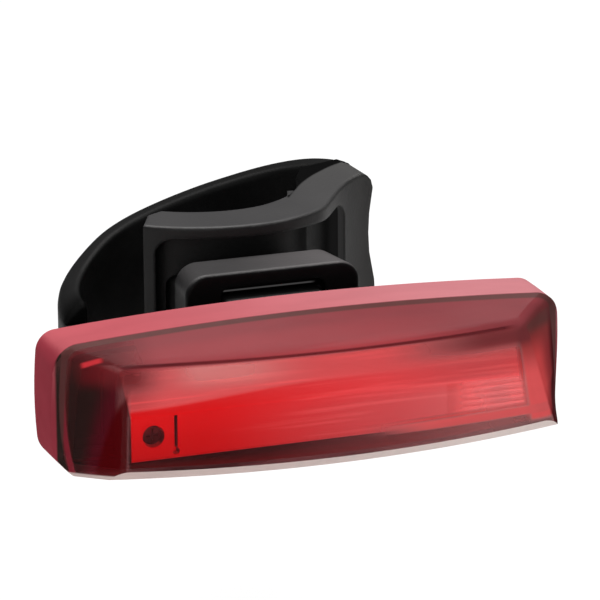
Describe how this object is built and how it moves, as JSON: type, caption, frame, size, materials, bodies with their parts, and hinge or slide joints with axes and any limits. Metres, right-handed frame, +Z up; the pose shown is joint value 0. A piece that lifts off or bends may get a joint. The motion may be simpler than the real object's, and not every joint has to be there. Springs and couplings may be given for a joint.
{
  "type": "bike tail light",
  "caption": "Wide red rear light on a rubber seat post mount: clear red cover over a reflector box, slide-off cleat, charging port and a buckled strap.",
  "frame": {"origin": "axis of the seat post at the middle of the saddle's height", "axes": "+Z up along the post, -Y towards the face of the light, +X to the light's right seen from the front"},
  "size_m": [0.0754, 0.081, 0.0376],
  "materials": {
    "red_lens": "clear red plastic, polished",
    "red_reflector": "glossy red",
    "clear_optic": "fluted clear plastic",
    "black_plastic": "fine matte",
    "bracket_plastic": "satin black",
    "mount_rubber": "matte black rubber",
    "liner_rubber": "soft grey black rubber",
    "seal_rubber": "soft black",
    "button_rubber": "dark grey rubber",
    "cover_rubber": "dark rubber",
    "screw_steel": "blackened steel",
    "socket_metal": "bright pressed steel",
    "circuit_board": "green solder mask",
    "led_board": "white solder mask",
    "led_chip": "moulded package",
    "battery_foil": "foil pouch",
    "switch_plastic": "black moulded"
  },
  "bodies": {
    "mount": {"cradle": "mount_rubber", "saddle_liner": "liner_rubber", "bracket": "bracket_plastic", "bracket_screws": "screw_steel", "strap_hook": "bracket_plastic", "strap_root": "mount_rubber"},
    "strap": {"strap_end": "mount_rubber"},
    "head": {"lens_cover": "red_lens", "rear_housing": "black_plastic", "housing_seal": "seal_rubber", "cleat": "black_plastic", "cleat_screws": "screw_steel", "reflector": "red_reflector", "reflector_screws": "screw_steel", "fluted_optic": "clear_optic", "circuit_board": "circuit_board", "led_board": "led_board", "led_chips": "led_chip", "battery": "battery_foil", "charging_socket": "socket_metal", "push_switch": "switch_plastic"},
    "button": {"power_button": "button_rubber"},
    "cover": {"port_cover": "cover_rubber"}
  },
  "joints": [
    {"name": "head_slide", "type": "slide", "parent": "mount", "child": "head", "axis": [0, 0, -1], "range_m": [0, 0.032]},
    {"name": "strap_bend", "type": "hinge", "parent": "mount", "child": "strap", "pos_m": [-0.01336, 0.0146, 0], "axis": [0, 0, 1], "range_deg": [-80, 0]},
    {"name": "button_press", "type": "slide", "parent": "head", "child": "button", "axis": [0, -1, 0], "range_m": [0, 0.0006], "stiffness_N_per_m": 1500, "springref_m": -0.0006},
    {"name": "port_cover_open", "type": "hinge", "parent": "head", "child": "cover", "pos_m": [-0.0139, -0.0382, 0.001], "axis": [0, 0, 1], "range_deg": [-80, 0]}
  ]
}
